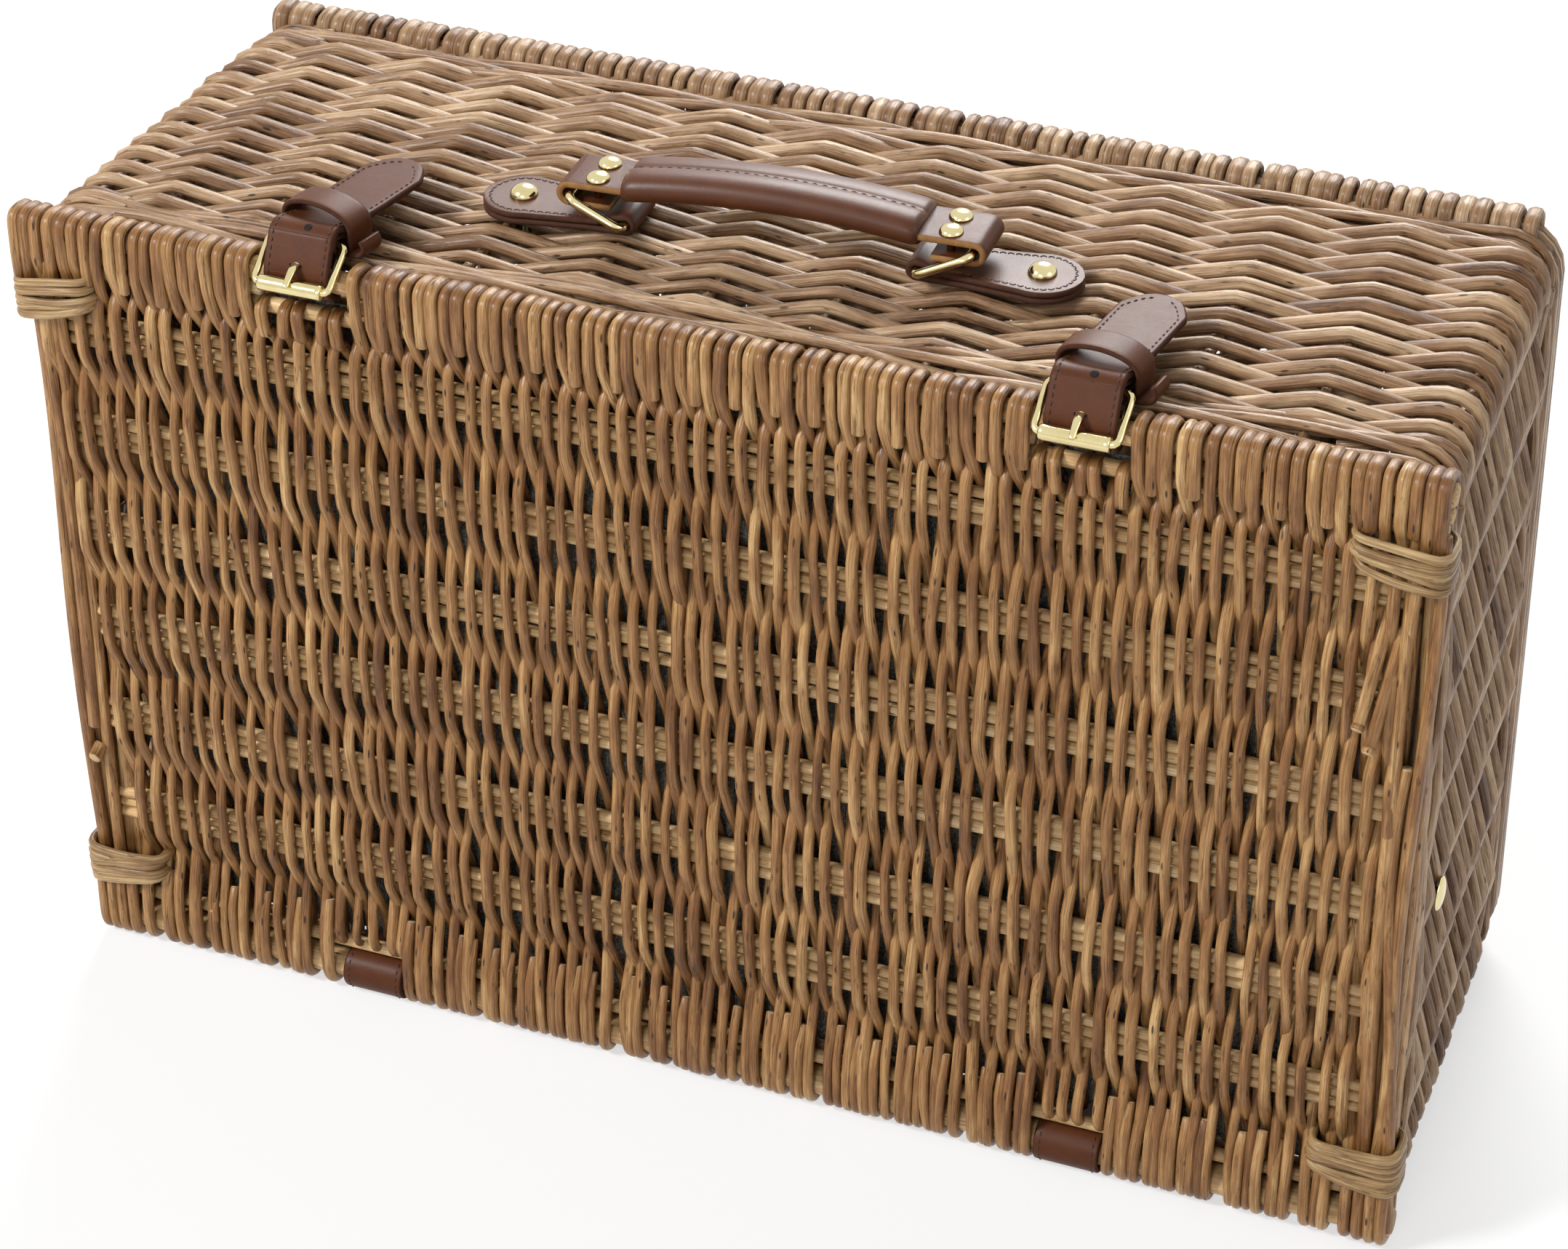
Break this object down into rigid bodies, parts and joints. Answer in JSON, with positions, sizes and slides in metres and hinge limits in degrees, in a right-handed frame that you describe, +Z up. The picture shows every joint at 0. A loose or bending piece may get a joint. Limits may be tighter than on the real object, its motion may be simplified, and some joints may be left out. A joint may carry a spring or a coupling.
{
  "type": "picnic basket",
  "caption": "Woven willow picnic hamper with a cloth-lined lid on leather hinges, buckled leather straps, a ring-hung padded leather carrying handle and brass fittings.",
  "frame": {"origin": "on the table, under the middle of the closed basket's bounding box, as it stands on its back wall", "axes": "+X along the lid to the right as seen from the front, +Y from the lid to the base, +Z up to the handle"},
  "size_m": [0.5048, 0.194, 0.3328],
  "materials": {
    "willow": "buff willow with its bark boiled in, satin",
    "willow_pale": "peeled willow sticks, satin",
    "binding": "split willow skein, satin",
    "leather": "dark red-brown bridle leather, stitched edges",
    "brass": "polished pale brass",
    "lining": "grey speckled cotton"
  },
  "bodies": {
    "basket": {"front_wall": "willow", "back_wall": "willow", "left_wall": "willow", "right_wall": "willow", "corner_front_left": "willow", "corner_front_right": "willow", "corner_back_left": "willow", "corner_back_right": "willow", "base_panel": "willow", "base_hoop": "willow", "mouth_rod_front": "willow", "mouth_rod_back": "willow", "mouth_rod_left": "willow", "mouth_rod_right": "willow", "wall_stud_left": "brass", "wall_stud_right": "brass", "hinge_leather_left": "leather", "hinge_leather_right": "leather", "chape_left": "leather", "chape_right": "leather", "keeper_left": "leather", "keeper_right": "leather", "handle_tab_left": "leather", "handle_tab_right": "leather", "tab_rivet_left": "brass", "tab_rivet_right": "brass"},
    "lid": {"lid_top_border": "willow", "lid_top_rod": "willow_pale", "lid_bottom_border": "willow", "lid_hinge_rod": "willow_pale", "lid_panel": "willow", "lid_lining": "lining", "lid_sticks_1": "willow_pale", "lid_sticks_2": "willow_pale", "lid_sticks_3": "willow_pale", "lid_sticks_4": "willow_pale", "lid_sticks_5": "willow_pale", "lid_sticks_6": "willow_pale", "lid_side_rods_left": "willow", "lid_side_rods_right": "willow", "lid_binding_top_left": "binding", "lid_binding_top_right": "binding", "lid_binding_bottom_left": "binding", "lid_binding_bottom_right": "binding"},
    "tongue_left": {"strap_left": "leather"},
    "tongue_right": {"strap_right": "leather"},
    "frame_left": {"buckle_frame_left": "brass"},
    "frame_right": {"buckle_frame_right": "brass"},
    "prong_left": {"buckle_prong_left": "brass"},
    "prong_right": {"buckle_prong_right": "brass"},
    "roller_left": {"buckle_roller_left": "brass"},
    "roller_right": {"buckle_roller_right": "brass"},
    "handle": {"handle_strap": "leather", "grip_cover": "leather", "loop_rivet_left_front": "brass", "loop_rivet_left_rear": "brass", "loop_rivet_right_front": "brass", "loop_rivet_right_rear": "brass"},
    "hanger_left": {"ring_left": "brass"},
    "hanger_right": {"ring_right": "brass"}
  },
  "joints": [
    {"name": "lid_hinge", "type": "hinge", "parent": "basket", "child": "lid", "pos_m": [0, -0.08269, 0.0087], "axis": [1, 0, 0], "range_deg": [0, 90]},
    {"name": "strap_left_swing", "type": "hinge", "parent": "lid", "child": "tongue_left", "pos_m": [-0.141, -0.08269, 0.301], "axis": [1, 0, 0], "range_deg": [0, 120], "deforming": ["strap_left"]},
    {"name": "strap_right_swing", "type": "hinge", "parent": "lid", "child": "tongue_right", "pos_m": [0.132, -0.08269, 0.301], "axis": [1, 0, 0], "range_deg": [0, 120], "deforming": ["strap_right"]},
    {"name": "buckle_left_swing", "type": "hinge", "parent": "basket", "child": "frame_left", "pos_m": [-0.141, -0.07839, 0.3126], "axis": [-1, 0, 0], "range_deg": [0, 60]},
    {"name": "buckle_right_swing", "type": "hinge", "parent": "basket", "child": "frame_right", "pos_m": [0.132, -0.07839, 0.3126], "axis": [-1, 0, 0], "range_deg": [0, 60]},
    {"name": "prong_left_swing", "type": "hinge", "parent": "frame_left", "child": "prong_left", "pos_m": [-0.141, -0.07839, 0.3126], "axis": [-1, 0, 0], "range_deg": [0, 60]},
    {"name": "prong_right_swing", "type": "hinge", "parent": "frame_right", "child": "prong_right", "pos_m": [0.132, -0.07839, 0.3126], "axis": [-1, 0, 0], "range_deg": [0, 60]},
    {"name": "roller_left_spin", "type": "hinge", "parent": "frame_left", "child": "roller_left", "pos_m": [-0.141, -0.09295, 0.30202], "axis": [1, 0, 0], "continuous": true},
    {"name": "roller_right_spin", "type": "hinge", "parent": "frame_right", "child": "roller_right", "pos_m": [0.132, -0.09295, 0.30202], "axis": [1, 0, 0], "continuous": true},
    {"name": "handle_lift", "type": "slide", "parent": "basket", "child": "handle", "axis": [0, 0, 1], "range_m": [0, 0.0055]},
    {"name": "ring_left_swing", "type": "hinge", "parent": "basket", "child": "hanger_left", "pos_m": [-0.04793, -0.02077, 0.31125], "axis": [-0.0506, 0.9987, 0], "range_deg": [0, 19]},
    {"name": "ring_right_swing", "type": "hinge", "parent": "basket", "child": "hanger_right", "pos_m": [0.05393, -0.01561, 0.31125], "axis": [0.0506, -0.9987, 0], "range_deg": [0, 19]}
  ],
  "couplings": [
    {"joint": "ring_left_swing", "follows": "handle_lift", "rad_per_m": 58.4},
    {"joint": "ring_right_swing", "follows": "handle_lift", "rad_per_m": 58.4}
  ]
}
